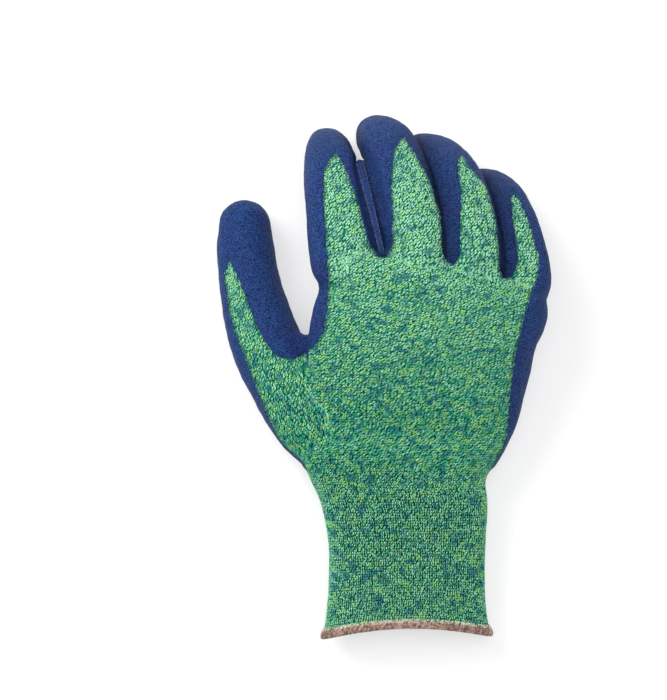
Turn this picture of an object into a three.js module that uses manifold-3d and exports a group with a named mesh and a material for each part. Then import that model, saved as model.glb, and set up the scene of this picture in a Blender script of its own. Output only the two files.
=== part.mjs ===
// Knitted work glove for a right hand, dipped in crinkled latex and lying palm down. It rests on its cuff,
// the heel of its palm, its thumb and its curled fingertips, and it is hollow and open at the cuff.
// Millimetres. +X runs from the thumb to the little finger, +Y from the cuff to the fingertips, and +Z is
// up.
// The origin is on the table, under the middle of the glove.

import * as THREE from "three";
import { mergeVertices } from "three/addons/utils/BufferGeometryUtils.js";
import Module from "manifold-3d";

const wasm = await Module();
wasm.setup();

// Walls
const knitWall = 1.4;
const latexWall = 0.9;
const pieceGap = 0.3; // between the knit and the latex, and between the knit's end and the hem

// Cuff, from the hem to the wrist
const cuffLength = 68;
const cuffWidth = 73;
const cuffDepth = 26;
const hemLength = 4.8;
const hemBulge = 0.8; // how far the overlocked hem stands out of the cuff
const hemWave = 5.1; // how far the middle of the hem is drawn up towards the hand
const hemSlant = 1.4; // how much further the hem is drawn up on the little finger's side

// Hand, from the wrist to the roots of the fingers
const palmLength = 106;
const palmWidth = 106;
const palmDepth = 40;
const knuckleRise = 44; // height of the middle of the knuckles over the table
const palmCoatStart = 62; // hem to the edge of the latex across the palm

// Fingers and thumb. The lengths run from the root, or from deep in the palm, to the middle of the round
// tip.
const indexLength = 69;
const indexWidth = 25.6;
const middleLength = 77.8;
const middleWidth = 27;
const ringLength = 73.5;
const ringWidth = 24.6;
const littleLength = 58;
const littleWidth = 22.2;
const fingerDepth = 21.5; // of a finger as wide as the index
const thumbLength = 121;
const thumbWidth = 26.6;
const thumbDepth = 24;

const handSides = 26; // corners of a ring round the hand
const digitSides = 12;
const tipRings = 3;
const tipBlunt = 0.35; // share of a ring's step that is left flat at a tip's end
const tipPress = 0.9; // how far a fingertip is flattened by the table
const mostCurl = 125; // degrees from a finger's root to its tip
const curlTries = 24;
const stride = 0.01; // share of a digit's length between two points of its line
const squareness = 2.35; // exponent of the rings: 2 is an ellipse
const samePlace = 1e-4; // points nearer than this are one
const finest = 0.02; // edges shorter than this are merged after the cuts
const ringApart = 0.5; // least distance between two rings of the hand
const degree = Math.PI / 180;

// Rings round the cuff. along, shift and half are shares of the cuff's length and width, deep and rise of
// its depth.
const cuffRings = [
  { along: 0.0, shift: 0.0, half: 0.532, deep: 0.49, rise: 0.5 },
  { along: 0.07, shift: 0.0, half: 0.518, deep: 0.48, rise: 0.5 },
  { along: 0.22, shift: 0.0, half: 0.5, deep: 0.48, rise: 0.51 },
  { along: 0.46, shift: 0.0, half: 0.494, deep: 0.49, rise: 0.53 },
  { along: 0.74, shift: -0.003, half: 0.502, deep: 0.53, rise: 0.58 },
  { along: 0.95, shift: -0.008, half: 0.516, deep: 0.59, rise: 0.64 },
];

// Rings round the hand. along is a share of the palm's length, shift and half of its width, deep and arch
// of its depth, and rise of the knuckles' height. roll and skew are in degrees, and lower and draw back
// the little finger's side. Where end is over 0, the hand rounds off between the fingers.
const palmRings = [
  { along: 0.067, shift: -0.02, half: 0.363, deep: 0.415, rise: 0.4, arch: 0, roll: 0, skew: 0, end: 0 },
  { along: 0.155, shift: -0.006, half: 0.403, deep: 0.46, rise: 0.435, arch: 0, roll: 0, skew: 0, end: 0 },
  { along: 0.27, shift: 0.015, half: 0.441, deep: 0.485, rise: 0.475, arch: 0.01, roll: 1, skew: 0, end: 0 },
  { along: 0.41, shift: 0.027, half: 0.465, deep: 0.5, rise: 0.57, arch: 0.03, roll: 2, skew: 1, end: 0 },
  { along: 0.56, shift: 0.046, half: 0.48, deep: 0.485, rise: 0.69, arch: 0.05, roll: 4, skew: 3, end: 0 },
  { along: 0.67, shift: 0.063, half: 0.48, deep: 0.46, rise: 0.79, arch: 0.07, roll: 5, skew: 5, end: 0 },
  { along: 0.78, shift: 0.094, half: 0.49, deep: 0.43, rise: 0.87, arch: 0.09, roll: 6, skew: 7, end: 0 },
  { along: 0.88, shift: 0.104, half: 0.491, deep: 0.39, rise: 0.95, arch: 0.11, roll: 7, skew: 9, end: 0 },
  { along: 0.93, shift: 0.097, half: 0.49, deep: 0.36, rise: 0.98, arch: 0.12, roll: 7, skew: 10.5, end: 0 },
  { along: 0.97, shift: 0.092, half: 0.48, deep: 0.3, rise: 0.99, arch: 0.12, roll: 7, skew: 10.5, end: 0.5 },
  { along: 0.995, shift: 0.09, half: 0.47, deep: 0.18, rise: 1.0, arch: 0.12, roll: 7, skew: 10.5, end: 1 },
];

// The bare knit on the back of the hand. along is a share of the palm's length, left and right are shares
// of the half width, and below is how far the knit runs down the sides, as a share of the palm's depth.
const backRows = [
  { along: -0.06, left: 1.4, right: 1.4, below: 0.3 },
  { along: 0.067, left: 1.4, right: 1.3, below: 0.2 },
  { along: 0.155, left: 1.35, right: 0.97, below: 0.1 },
  { along: 0.27, left: 1.3, right: 0.92, below: 0.06 },
  { along: 0.41, left: 1.39, right: 0.86, below: 0.03 },
  { along: 0.56, left: 1.44, right: 0.82, below: 0.02 },
  { along: 0.62, left: 0.99, right: 0.82, below: 0 },
  { along: 0.67, left: 0.95, right: 0.82, below: 0 },
  { along: 0.78, left: 0.94, right: 0.8, below: 0 },
  { along: 0.88, left: 0.93, right: 0.84, below: 0 },
  { along: 0.93, left: 0.88, right: 0.87, below: 0 },
  { along: 0.995, left: 0.84, right: 0.88, below: 0 },
];

// Rings along a finger. along is a share of its length, half and deep are shares of its half width and
// half depth.
const fingerRings = [
  { along: -0.24, half: 0.84, deep: 0.7 },
  { along: -0.06, half: 1.15, deep: 1.1 },
  { along: 0.12, half: 1.14, deep: 1.06 },
  { along: 0.3, half: 1.05, deep: 1.02 },
  { along: 0.5, half: 1.01, deep: 1.0 },
  { along: 0.64, half: 1.0, deep: 0.99 },
  { along: 0.75, half: 0.99, deep: 0.96 },
  { along: 0.88, half: 0.94, deep: 0.92 },
  { along: 1.0, half: 0.82, deep: 0.82 },
];
const fingerLift = -6; // degrees that a finger drops by at its root, before it curls

// The four fingers. across, root and rise place a finger's root, as shares of the palm's half width, of
// its length and of the knuckles' height. In degrees, heading is to the right of +Y, turn is how much of
// it is lost by the tip, and tilt leans the finger's back to the right. The tongue is the bare knit on the
// finger's back: along is a share of the finger's length, and left and right are shares of its half width.
const fingers = [
  {
    place: { across: -0.705, root: 1.02, rise: 1.08, heading: -10, turn: -9, tilt: 4 },
    length: indexLength,
    width: indexWidth,
    tongue: [
      { along: -0.2, left: 0.3, right: 0.6 },
      { along: 0.03, left: 0.5, right: 0.8 },
      { along: 0.22, left: 0.46, right: 0.76 },
      { along: 0.42, left: 0.38, right: 0.68 },
      { along: 0.6, left: 0.32, right: 0.56 },
      { along: 0.72, left: 0.2, right: 0.36 },
      { along: 0.82, left: -0.04, right: 0.12 },
    ],
  },
  {
    place: { across: -0.13, root: 1.005, rise: 1.12, heading: -6.2, turn: 0, tilt: 17 },
    length: middleLength,
    width: middleWidth,
    tongue: [
      { along: -0.2, left: 0.5, right: 0.6 },
      { along: 0.05, left: 0.8, right: 0.85 },
      { along: 0.25, left: 0.74, right: 0.86 },
      { along: 0.45, left: 0.6, right: 0.82 },
      { along: 0.6, left: 0.42, right: 0.68 },
      { along: 0.75, left: 0.2, right: 0.44 },
      { along: 0.88, left: -0.04, right: 0.14 },
    ],
  },
  {
    place: { across: 0.362, root: 0.98, rise: 1.04, heading: -2.6, turn: 0, tilt: 26 },
    length: ringLength,
    width: ringWidth,
    tongue: [
      { along: -0.2, left: 0.5, right: 0.6 },
      { along: 0.05, left: 0.8, right: 0.85 },
      { along: 0.25, left: 0.72, right: 0.86 },
      { along: 0.45, left: 0.58, right: 0.8 },
      { along: 0.6, left: 0.4, right: 0.64 },
      { along: 0.75, left: 0.2, right: 0.42 },
      { along: 0.88, left: -0.02, right: 0.12 },
    ],
  },
  {
    place: { across: 0.785, root: 0.93, rise: 0.83, heading: -2.4, turn: 0, tilt: 26 },
    length: littleLength,
    width: littleWidth,
    tongue: [
      { along: -0.2, left: 0.5, right: 0.3 },
      { along: 0.05, left: 0.72, right: 0.44 },
      { along: 0.25, left: 0.6, right: 0.48 },
      { along: 0.45, left: 0.42, right: 0.48 },
      { along: 0.6, left: 0.28, right: 0.4 },
      { along: 0.75, left: 0.1, right: 0.24 },
      { along: 0.86, left: -0.04, right: 0.08 },
    ],
  },
];

// The thumb, placed as the fingers are, but with its own heading and drop at each ring, in degrees.
const thumb = {
  place: { across: -0.545, root: 0.148, rise: 0.458, tilt: -27 },
  length: thumbLength,
  rings: [
    { along: 0.0, half: 0.8, deep: 0.5, heading: -36.5, drop: -2 },
    { along: 0.06, half: 1.15, deep: 0.85, heading: -37, drop: -1 },
    { along: 0.14, half: 1.38, deep: 1.12, heading: -37.5, drop: 0 },
    { along: 0.27, half: 1.34, deep: 1.28, heading: -39, drop: 4 },
    { along: 0.4, half: 1.2, deep: 1.22, heading: -35, drop: 7 },
    { along: 0.51, half: 1.14, deep: 1.14, heading: -28, drop: 8 },
    { along: 0.61, half: 1.09, deep: 1.08, heading: -21, drop: 8 },
    { along: 0.71, half: 1.02, deep: 1.03, heading: -16, drop: 7 },
    { along: 0.81, half: 0.95, deep: 0.98, heading: -11, drop: 6 },
    { along: 0.91, half: 0.9, deep: 0.92, heading: -6, drop: 4 },
    { along: 1.0, half: 0.78, deep: 0.82, heading: -2, drop: 2 },
  ],
  tongue: [
    { along: 0.0, left: -0.2, right: 1.0 },
    { along: 0.13, left: 0.5, right: 0.95 },
    { along: 0.27, left: 0.8, right: 0.72 },
    { along: 0.4, left: 0.78, right: 0.6 },
    { along: 0.51, left: 0.7, right: 0.5 },
    { along: 0.61, left: 0.62, right: 0.42 },
    { along: 0.71, left: 0.54, right: 0.24 },
    { along: 0.8, left: 0.4, right: -0.06 },
    { along: 0.84, left: 0.28, right: -0.16 },
  ],
};

// The hem's section. along is a share of its length, and bulge of how far it stands out.
const hemRows = [
  { along: 0.0, bulge: 0.1 },
  { along: 0.25, bulge: 1.0 },
  { along: 0.7, bulge: 1.0 },
  { along: 1.0, bulge: 0.35 },
];

// The pieces lie inside one another. Each surface is the knit's outside, grown by the walls outside it or
// shrunk by the knit's own, and it is flattened that much nearer to the table or further from it.
const latexOut = { grow: pieceGap + latexWall, floor: 0 };
const latexIn = { grow: pieceGap, floor: latexWall };
const knitOut = { grow: 0, floor: latexWall + pieceGap };
const knitIn = { grow: -knitWall, floor: latexWall + pieceGap + knitWall };
const knitStart = hemLength + pieceGap;
const pastAll = 2 * Math.max(palmWidth, palmDepth, cuffWidth); // long enough to reach out of the glove

function mix(a, b, share) {
  return a + (b - a) * share;
}

// A column of a table at a share between two of its rows.
function between(rows, column, share) {
  const next = Math.max(1, rows.findIndex((row) => row.along >= share));
  const [a, b] = [rows[next - 1], rows[next]];
  return mix(a[column], b[column], (share - a.along) / (b.along - a.along));
}

function roundPower(value) {
  return Math.sign(value) * Math.abs(value) ** (2 / squareness);
}

function solidOf(geometry) {
  const merged = mergeVertices(geometry, samePlace);
  return new wasm.Manifold(
    new wasm.Mesh({
      numProp: 3,
      vertProperties: merged.attributes.position.array,
      triVerts: new Uint32Array(merged.index.array),
    }),
  );
}

// A closed solid through rings of equally many points. Each ring runs anticlockwise when it is seen from
// the next.
function skin(rings) {
  const sides = rings[0].length;
  const last = (rings.length - 1) * sides;
  const ends = [rings[0], rings.at(-1)].map((ring) =>
    ring.reduce((sum, point) => sum.add(point), new THREE.Vector3()).divideScalar(sides),
  );
  const points = [...rings.flat(), ...ends];
  const faces = [];
  for (let i = 0; i < sides; i++) {
    const j = (i + 1) % sides;
    for (let ring = 0; ring < last; ring += sides) {
      faces.push(ring + i, ring + j, ring + sides + j);
      faces.push(ring + i, ring + sides + j, ring + sides + i);
    }
    faces.push(last + sides, j, i);
    faces.push(last + sides + 1, last + i, last + j);
  }
  const geometry = new THREE.BufferGeometry().setFromPoints(points);
  geometry.setIndex(faces);
  return solidOf(geometry);
}

function meshOf(name, solid, color, roughness) {
  const made = solid.getMesh();
  const positions = new Float32Array(made.numVert * 3);
  for (let i = 0; i < made.numVert; i++) {
    positions.set(made.vertProperties.subarray(i * made.numProp, i * made.numProp + 3), i * 3);
  }
  const geometry = new THREE.BufferGeometry();
  geometry.setAttribute("position", new THREE.BufferAttribute(positions, 3));
  geometry.setIndex(new THREE.BufferAttribute(made.triVerts, 1));
  geometry.computeVertexNormals();
  const mesh = new THREE.Mesh(geometry, new THREE.MeshStandardMaterial({ color, roughness, metalness: 0 }));
  mesh.name = name;
  return mesh;
}

// The rings of the cuff and the hand in millimetres and radians, from the hem to the roots of the fingers.
const stations = [
  ...cuffRings.map((ring) => ({
    y: ring.along * cuffLength,
    x: ring.shift * cuffWidth,
    z: ring.rise * cuffDepth,
    half: ring.half * cuffWidth,
    deep: ring.deep * cuffDepth,
    arch: 0,
    roll: 0,
    skew: 0,
    end: 0,
  })),
  ...palmRings.map((ring) => ({
    y: cuffLength + ring.along * palmLength,
    x: ring.shift * palmWidth,
    z: ring.rise * knuckleRise,
    half: ring.half * palmWidth,
    deep: ring.deep * palmDepth,
    arch: ring.arch * palmDepth,
    roll: ring.roll * degree,
    skew: ring.skew * degree,
    end: ring.end,
  })),
];

function handAt(y) {
  const above = stations.findIndex((station) => station.y > y);
  const next = above < 0 ? stations.length - 1 : Math.max(1, above);
  const [a, b] = [stations[next - 1], stations[next]];
  const share = (y - a.y) / (b.y - a.y);
  return Object.fromEntries(Object.keys(a).map((column) => [column, mix(a[column], b[column], share)]));
}

// A point of the hand, sideways by a share of the half width and up by a length.
function handPoint(at, sideways, up, grow) {
  const across = sideways * (at.half + grow);
  const crown = 1 - Math.min(1, sideways ** 2);
  const over = up + at.arch * crown;
  const drawn = Math.max(0, 1 - at.y / cuffLength) ** 2; // how much of the hem's wave is left at this ring
  const wave = drawn * (hemWave * crown + (hemSlant * (1 + sideways)) / 2);
  return new THREE.Vector3(
    at.x + across * Math.cos(at.roll) + over * Math.sin(at.roll),
    at.y + at.end * grow - across * Math.tan(at.skew) + wave,
    at.z - across * Math.sin(at.roll) + over * Math.cos(at.roll),
  );
}

// A ring round the hand, flattened where it would reach under the floor.
function handRing(y, sides, grow, floor) {
  const at = handAt(y);
  return Array.from({ length: sides }, (_, i) => {
    const turn = (2 * Math.PI * i) / sides;
    const up = roundPower(Math.sin(turn)) * (at.deep + grow);
    const point = handPoint(at, roundPower(Math.cos(turn)), up, grow);
    point.z = Math.max(point.z, floor);
    return point;
  });
}

function ringsFrom(start) {
  return [start, ...stations.map((station) => station.y).filter((y) => y > start + ringApart)];
}

function handSolid({ grow, floor }, start) {
  return skin(ringsFrom(start).map((y) => handRing(y, handSides, grow, floor).reverse()));
}

// A place on a digit's line: its middle, and the digit's own directions there.
function frameAt(centre, heading, tilt, drop) {
  const forward = new THREE.Vector3(Math.sin(heading), Math.cos(heading), 0);
  const right = new THREE.Vector3(Math.cos(heading), -Math.sin(heading), 0);
  const back = new THREE.Vector3(0, 0, Math.cos(tilt)).addScaledVector(right, Math.sin(tilt));
  const along = forward.clone().multiplyScalar(Math.cos(drop)).addScaledVector(back, -Math.sin(drop));
  const up = back.clone().multiplyScalar(Math.cos(drop)).addScaledVector(forward, Math.sin(drop));
  return { centre, along, up, side: along.clone().cross(up).normalize() };
}

// The digit's frames at these shares of its length, which rise. Its line turns by its own heading and
// drop.
function walk(digit, shares) {
  let at = digit.rings[0].along;
  let centre = digit.start.clone();
  return shares.map((share) => {
    while (at < share - stride / 2) {
      const step = Math.min(stride, share - at);
      const { along } = frameAt(centre, digit.heading(at + step / 2), digit.tilt, digit.drop(at + step / 2));
      centre = centre.clone().addScaledVector(along, step * digit.length);
      at += step;
    }
    return frameAt(centre.clone(), digit.heading(share), digit.tilt, digit.drop(share));
  });
}

function digitRing(centre, frame, half, deep, floor) {
  return Array.from({ length: digitSides }, (_, i) => {
    const turn = (2 * Math.PI * i) / digitSides;
    const point = centre
      .clone()
      .addScaledVector(frame.side, roundPower(Math.cos(turn)) * half)
      .addScaledVector(frame.up, roundPower(Math.sin(turn)) * deep);
    point.z = Math.max(point.z, floor);
    return point;
  });
}

function digitSolid(digit, { grow, floor }) {
  const frames = walk(
    digit,
    digit.rings.map((ring) => ring.along),
  );
  frames[0].centre.addScaledVector(frames[0].along, -grow);
  const rings = frames.map((frame, r) => {
    const { half, deep } = digit.rings[r];
    return digitRing(frame.centre, frame, half * digit.half + grow, deep * digit.deep + grow, floor);
  });
  const end = frames.at(-1);
  const half = digit.rings.at(-1).half * digit.half + grow;
  const deep = digit.rings.at(-1).deep * digit.deep + grow;
  for (let i = 1; i <= tipRings; i++) {
    const turn = ((i / (tipRings + tipBlunt)) * Math.PI) / 2;
    const centre = end.centre.clone().addScaledVector(end.along, half * Math.sin(turn));
    rings.push(digitRing(centre, end, half * Math.cos(turn), deep * Math.cos(turn), floor));
  }
  return skin(rings.map((ring) => ring.reverse()));
}

// Four corners round a point, from one length to another sideways and up.
function boxRing(centre, side, up, left, right, high) {
  return [
    [left, high],
    [right, high],
    [right, 0],
    [left, 0],
  ].map(([across, over]) => centre.clone().addScaledVector(side, across).addScaledVector(up, over));
}

// The space over the bare knit on a digit's back, from the digit's middle up.
function digitWindow(digit) {
  const frames = walk(
    digit,
    digit.tongue.map((row) => row.along),
  );
  return skin(
    frames.map((frame, r) => {
      const { along, left, right } = digit.tongue[r];
      const half = digit.half * between(digit.rings, "half", along);
      return boxRing(frame.centre, frame.side, frame.up, -left * half, right * half, 2 * digit.deep);
    }),
  );
}

function startOf({ across, root, rise }) {
  const y = cuffLength + root * palmLength;
  return new THREE.Vector3(handAt(y).x + (across * palmWidth) / 2, y, rise * knuckleRise);
}

// A finger starts inside the hand, and curls just as far as it takes to rest its tip on the table.
function fingerDigit({ place, length, width, tongue }) {
  const heading = place.heading * degree;
  const tilt = place.tilt * degree;
  const lift = fingerLift * degree;
  const start = startOf(place);
  start.addScaledVector(frameAt(start, heading, tilt, lift).along, fingerRings[0].along * length);
  const digit = {
    rings: fingerRings,
    tongue,
    length,
    half: width / 2,
    deep: (fingerDepth * width) / indexWidth / 2,
    tilt,
    heading: (share) => heading - place.turn * degree * Math.max(0, share),
    start,
  };
  const tipRadius = fingerRings.at(-1).half * digit.half + latexOut.grow;
  let low = 0;
  let high = mostCurl * degree;
  for (let i = 0; i < curlTries; i++) {
    const curl = (low + high) / 2;
    digit.drop = (share) => mix(lift, curl, Math.max(0, share));
    if (walk(digit, [1])[0].centre.z - tipRadius > -tipPress) low = curl;
    else high = curl;
  }
  return digit;
}

function thumbDigit({ place, length, rings, tongue }) {
  return {
    rings,
    tongue,
    length,
    half: thumbWidth / 2,
    deep: thumbDepth / 2,
    tilt: place.tilt * degree,
    heading: (share) => between(rings, "heading", share) * degree,
    drop: (share) => between(rings, "drop", share) * degree,
    start: startOf(place),
  };
}

const digits = [...fingers.map(fingerDigit), thumbDigit(thumb)];

function gloveSolid(surface, start) {
  return digits.reduce((sum, digit) => sum.add(digitSolid(digit, surface)), handSolid(surface, start));
}

// The space over the bare knit on the back of the hand.
function backWindow() {
  return skin(
    backRows.map(({ along, left, right, below }) => {
      const at = handAt(cuffLength + along * palmLength);
      return [
        handPoint(at, -left, 2 * palmDepth, 0),
        handPoint(at, right, 2 * palmDepth, 0),
        handPoint(at, right, -below * palmDepth, 0),
        handPoint(at, -left, -below * palmDepth, 0),
      ];
    }),
  );
}

// Everything from below the hem to the edge of the latex across the palm.
function cuffSpace() {
  const box = new THREE.BoxGeometry(pastAll, pastAll, pastAll);
  box.deleteAttribute("normal");
  box.deleteAttribute("uv");
  box.translate(0, palmCoatStart - pastAll / 2, 0);
  return solidOf(box);
}

function knitLiner() {
  return gloveSolid(knitOut, knitStart).subtract(gloveSolid(knitIn, 0));
}

function latexCoat() {
  const windows = digits.reduce((sum, digit) => sum.add(digitWindow(digit)), backWindow());
  return gloveSolid(latexOut, knitStart)
    .subtract(gloveSolid(latexIn, 0))
    .subtract(cuffSpace())
    .subtract(windows);
}

// The overlocked hem: a soft roll round the end of the cuff.
function cuffHem() {
  const sides = 2 * handSides;
  const ring = (along, grow, floor) => handRing(along * hemLength, sides, grow, floor).reverse();
  const outside = skin(hemRows.map((row) => ring(row.along, row.bulge * hemBulge, 0)));
  const inside = skin([-1, 2].map((along) => ring(along, knitIn.grow, knitIn.floor)));
  return outside.subtract(inside);
}

const glove = new THREE.Group();
glove.add(meshOf("knit_liner", knitLiner().simplify(finest), 0x3fa878, 0.9));
glove.add(meshOf("latex_coat", latexCoat().simplify(finest), 0x1c2f7a, 0.6));
glove.add(meshOf("cuff_hem", cuffHem(), 0xa39a92, 0.9));

const box = new THREE.Box3().setFromObject(glove);
const middle = box.getCenter(new THREE.Vector3());
glove.position.set(-middle.x, -middle.y, -box.min.z);

export default glove;
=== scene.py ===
import math

import bmesh
import bpy
import numpy as np
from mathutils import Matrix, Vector, noise
from mathutils.bvhtree import BVHTree


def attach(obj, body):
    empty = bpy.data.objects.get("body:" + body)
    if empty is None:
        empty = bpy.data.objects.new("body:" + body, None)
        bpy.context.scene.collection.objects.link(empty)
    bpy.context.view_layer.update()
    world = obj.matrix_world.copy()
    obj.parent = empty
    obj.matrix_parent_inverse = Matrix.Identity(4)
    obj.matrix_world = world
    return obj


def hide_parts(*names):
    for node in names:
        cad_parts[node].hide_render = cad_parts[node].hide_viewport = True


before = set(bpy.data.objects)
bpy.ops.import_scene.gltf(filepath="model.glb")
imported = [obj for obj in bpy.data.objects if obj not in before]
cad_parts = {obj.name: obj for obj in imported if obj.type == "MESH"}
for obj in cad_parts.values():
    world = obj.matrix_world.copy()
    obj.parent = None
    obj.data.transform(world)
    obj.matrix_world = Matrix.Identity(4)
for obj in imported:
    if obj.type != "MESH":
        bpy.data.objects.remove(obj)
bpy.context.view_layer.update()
bpy.ops.object.select_all(action="DESELECT")
chance = np.random.default_rng(7)
mm = 0.001

# The photo's frame. Its pixels are square, and measured at the height of the middle of the glove.
photo = {
    "width": 667,
    "height": 700,
    "pixel": 0.46 * mm,
    "atHeight": 30 * mm,
    "distance": 1.5,
    "x": -22.5 * mm,
    "y": 12.7 * mm,
    "sensor": 24,
}


def pixelOf(points):
    pitch = photo["pixel"] * (1 - (points[:, 2] - photo["atHeight"]) / photo["distance"])
    across = photo["width"] / 2 + (points[:, 0] - photo["x"]) / pitch
    down = photo["height"] / 2 - (points[:, 1] - photo["y"]) / pitch
    return np.stack([across, down], axis=1)


def columnsOf(names, rows):
    return dict(zip(names.split(), np.array(rows, float).T))


def smoothAt(at, stations, values):
    slopes = np.gradient(values, stations)
    at = np.clip(at, stations[0], stations[-1])
    k = np.clip(np.searchsorted(stations, at, side="right") - 1, 0, len(stations) - 2)
    span = stations[k + 1] - stations[k]
    t = (at - stations[k]) / span
    rise = t * t * (3 - 2 * t)
    leave = t * (1 - t) ** 2 * span * slopes[k]
    arrive = -t * t * (1 - t) * span * slopes[k + 1]
    return values[k] * (1 - rise) + values[k + 1] * rise + leave + arrive


# The hand and the digits are a little squarer across than an ellipse, which would have 2 here.
sectionPower = 2.35


def roundPower(values):
    return np.sign(values) * np.abs(values) ** (2 / sectionPower)


def eased(values):
    t = np.clip(values, 0, 1)
    return t * t * (3 - 2 * t)


# The hand and its cuff, ring by ring. The tables hold shares of the lengths beside them, and degrees.
hand = {
    "origin": np.array([11.57, -121.6, 0]) * mm,
    "cuffLength": 68 * mm,
    "cuffWidth": 73 * mm,
    "cuffDepth": 26 * mm,
    "palmLength": 106 * mm,
    "palmWidth": 106 * mm,
    "palmDepth": 40 * mm,
    "knuckleRise": 44 * mm,
    "hemLength": 4.8 * mm,
    "hemWave": 5.1 * mm,
    "hemSlant": 1.4 * mm,
    "floor": 1.2 * mm,
    "sides": 96,
    "ringStep": 2 * mm,
}
cuffRings = columnsOf(
    "along shift half deep rise",
    [
        (-0.12, 0, 0.532, 0.49, 0.5),
        (0, 0, 0.532, 0.49, 0.5),
        (0.07, 0, 0.518, 0.48, 0.5),
        (0.22, 0, 0.5, 0.48, 0.51),
        (0.46, 0, 0.494, 0.49, 0.53),
        (0.74, -0.003, 0.502, 0.53, 0.58),
        (0.95, -0.02, 0.528, 0.59, 0.64),
    ],
)
palmRings = columnsOf(
    "along shift half deep rise arch roll skew",
    [
        (0.067, -0.04, 0.383, 0.415, 0.4, 0, 0, 0),
        (0.155, -0.03, 0.427, 0.46, 0.435, 0, 0, 0),
        (0.27, 0.015, 0.441, 0.485, 0.475, 0.01, 1, 0),
        (0.41, 0.027, 0.465, 0.5, 0.57, 0.03, 2, 1),
        (0.56, 0.046, 0.48, 0.485, 0.69, 0.05, 4, 3),
        (0.67, 0.063, 0.48, 0.46, 0.79, 0.07, 5, 5),
        (0.78, 0.094, 0.49, 0.43, 0.87, 0.09, 6, 7),
        (0.88, 0.104, 0.491, 0.39, 0.95, 0.11, 7, 9),
        (0.93, 0.097, 0.49, 0.36, 0.98, 0.12, 7, 10.5),
        (0.97, 0.092, 0.48, 0.3, 0.99, 0.12, 7, 10.5),
        (0.995, 0.09, 0.47, 0.18, 1, 0.12, 7, 10.5),
    ],
)
level = np.zeros(len(cuffRings["along"]))
handLine = {
    "y": np.append(
        cuffRings["along"] * hand["cuffLength"],
        palmRings["along"] * hand["palmLength"] + hand["cuffLength"],
    ),
    "x": np.append(cuffRings["shift"] * hand["cuffWidth"], palmRings["shift"] * hand["palmWidth"]),
    "z": np.append(cuffRings["rise"] * hand["cuffDepth"], palmRings["rise"] * hand["knuckleRise"]),
    "half": np.append(cuffRings["half"] * hand["cuffWidth"], palmRings["half"] * hand["palmWidth"]),
    "deep": np.append(cuffRings["deep"] * hand["cuffDepth"], palmRings["deep"] * hand["palmDepth"]),
    "arch": np.append(level, palmRings["arch"] * hand["palmDepth"]),
    "roll": np.append(level, np.radians(palmRings["roll"])),
    "skew": np.append(level, np.radians(palmRings["skew"])),
}


def handAt(y):
    return {name: smoothAt(y, handLine["y"], values) for name, values in handLine.items()}


def waveAt(y, sideways):
    crown = 1 - np.minimum(1, sideways**2)
    drawn = np.maximum(0, 1 - y / hand["cuffLength"]) ** 2
    return drawn * (hand["hemWave"] * crown + hand["hemSlant"] * (1 + sideways) / 2)


def handRings(y, turns, grow=0.0, floor=hand["floor"]):
    at = {name: values[:, None] for name, values in handAt(y).items()}
    sideways = roundPower(np.cos(turns))[None, :]
    across = sideways * (at["half"] + grow)
    crown = 1 - np.minimum(1, sideways**2)
    over = roundPower(np.sin(turns))[None, :] * (at["deep"] + grow) + at["arch"] * crown
    cosine, sine = np.cos(at["roll"]), np.sin(at["roll"])
    x = at["x"] + across * cosine + over * sine
    z = np.maximum(at["z"] - across * sine + over * cosine, floor)
    along = y[:, None] - across * np.tan(at["skew"]) + waveAt(y[:, None], sideways)
    return np.stack([x, along, z], axis=2) + hand["origin"]


# The digits. Their lines start inside the hand, and a finger curls until its tip rests on the table.
fingerRings = columnsOf(
    "along half deep",
    [
        (-0.24, 0.84, 0.7),
        (-0.06, 1.15, 1.1),
        (0.12, 1.14, 1.06),
        (0.3, 1.05, 1.02),
        (0.5, 1.01, 1.0),
        (0.64, 1.0, 0.99),
        (0.75, 0.99, 0.96),
        (0.88, 0.94, 0.92),
        (1.0, 0.82, 0.82),
    ],
)
thumbRings = columnsOf(
    "along half deep heading drop",
    [
        (0.0, 0.8, 0.5, -36.5, -2),
        (0.06, 1.15, 0.85, -37, -1),
        (0.14, 1.38, 1.12, -37.5, 0),
        (0.27, 1.34, 1.28, -39, 4),
        (0.4, 1.2, 1.22, -35, 7),
        (0.51, 1.14, 1.14, -28, 8),
        (0.61, 1.09, 1.08, -21, 8),
        (0.71, 1.02, 1.03, -16, 7),
        (0.81, 0.95, 0.98, -11, 6),
        (0.91, 0.9, 0.92, -6, 4),
        (1.0, 0.78, 0.82, -2, 2),
    ],
)
# For each digit: how slim its tip is and from what share of its length, where its line starts across
# the palm, along it and up, as shares of the palm's sizes, and its heading, its turn and its tilt.
placeNames = "tip slimFrom across root rise heading turn tilt".split()
digitPlaces = {
    "index": (0.78, 0.4, -0.722, 1.02, 1.08, -10, -9, 4),
    "middle": (0.92, 0.8, -0.092, 1.005, 1.12, -6.2, 0, 17),
    "ring": (1, 0.5, 0.362, 0.98, 1.04, -2.6, 0, 26),
    "little": (1, 0.5, 0.772, 0.93, 0.83, -2.4, 0, 26),
    "thumb": (1, 0.5, -0.477, 0.148, 0.458, 0, 0, -27),
}
digitSizes = {
    "index": {"length": 69.9 * mm, "width": 25.5 * mm, "deep": 21.5 * mm},
    "middle": {"length": 79.6 * mm, "width": 24 * mm, "deep": 22 * mm},
    "ring": {"length": 73.5 * mm, "width": 24.6 * mm, "deep": 20.7 * mm},
    "little": {"length": 58 * mm, "width": 22.2 * mm, "deep": 18.6 * mm},
    "thumb": {"length": 122.2 * mm, "width": 26.6 * mm, "deep": 24 * mm},
}
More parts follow.
